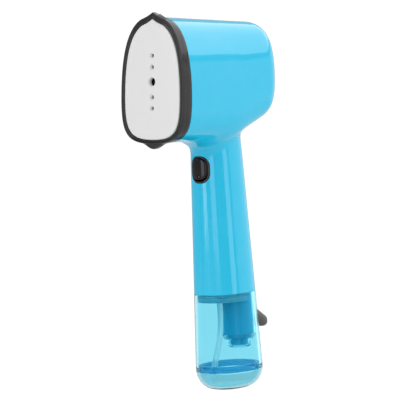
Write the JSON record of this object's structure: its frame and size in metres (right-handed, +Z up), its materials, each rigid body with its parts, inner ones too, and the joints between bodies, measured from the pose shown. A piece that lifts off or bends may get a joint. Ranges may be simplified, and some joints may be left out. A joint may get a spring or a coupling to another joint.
{
  "type": "handheld garment steamer",
  "caption": "Handheld garment steamer: deep head with pointed oval steam plate, slim straight handle with trigger, clear pull-off water tank and rear cord outlet.",
  "frame": {"origin": "centre of the hand grip, on the handle's axis", "axes": "+Z up along the upright part, -Y out of the steam plate, +X to the left of a user who faces the clothes"},
  "size_m": [0.0638, 0.1284, 0.2851],
  "materials": {
    "shell": "glossy injection-moulded",
    "clear_tank": "clear blue-tinted plastic",
    "soleplate": "satin ceramic coating",
    "dark_trim": "glossy black",
    "trigger_gloss": "polished black",
    "lens": "clear red",
    "silicone": "matte silicone",
    "cable_rubber": "matte grey",
    "cast_alloy": "die-cast",
    "steel": "plated",
    "brass": "turned",
    "nylon": "natural nylon",
    "board": "solder mask"
  },
  "bodies": {
    "housing": {"left_shell": "shell", "right_shell": "shell", "shell_screw_1": "steel", "shell_screw_2": "steel", "shell_screw_3": "steel", "shell_screw_4": "steel", "steam_plate": "soleplate", "plate_ring": "dark_trim", "head_collar": "dark_trim", "plate_gasket": "silicone", "boiler_body": "cast_alloy", "heating_element": "steel", "boiler_gasket": "silicone", "boiler_cover": "cast_alloy", "boiler_screw_1": "steel", "boiler_screw_2": "steel", "boiler_screw_3": "steel", "boiler_screw_4": "steel", "inlet_nozzle": "brass", "thermostat": "steel", "thermal_fuse": "steel", "outlet_hose": "silicone", "element_lead_1": "cable_rubber", "element_lead_2": "cable_rubber", "trigger_bezel": "dark_trim", "trigger_pin": "steel", "trigger_spring": "steel", "microswitch": "dark_trim", "control_board": "board", "pump_body": "nylon", "pump_coil": "brass", "pump_yoke": "steel", "pump_bush_lower": "silicone", "pump_bush_upper": "silicone", "suction_hose": "silicone", "supply_lead_1": "cable_rubber", "supply_lead_2": "cable_rubber", "terminal_block": "nylon", "handle_base": "shell", "tank_seal": "silicone", "tail_housing": "shell", "cord_gland": "cable_rubber", "cord_clamp": "nylon", "clamp_screw_1": "steel", "clamp_screw_2": "steel", "intake_hose": "silicone", "filter_weight": "steel"},
    "trigger_lever": {"trigger": "trigger_gloss", "indicator_lens": "lens"},
    "plunger": {"switch_plunger": "nylon"},
    "tank": {"tank_body": "clear_tank", "tank_base": "clear_tank"}
  },
  "joints": [
    {"name": "trigger_press", "type": "hinge", "parent": "housing", "child": "trigger_lever", "pos_m": [0, -0.01875, 0.05662], "axis": [1, 0, 0], "range_deg": [0, 6], "stiffness_Nm_per_rad": 0.03, "springref_deg": -2.86, "deforming": ["trigger_spring"]},
    {"name": "switch_press", "type": "slide", "parent": "housing", "child": "plunger", "axis": [0, 0.9958, 0.0913], "range_m": [0, 0.0017]},
    {"name": "tank_release", "type": "slide", "parent": "housing", "child": "tank", "axis": [0, 0.0913, -0.9958], "range_m": [0, 0.075]}
  ],
  "couplings": [
    {"joint": "switch_press", "follows": "trigger_press", "m_per_rad": 0.0128}
  ]
}
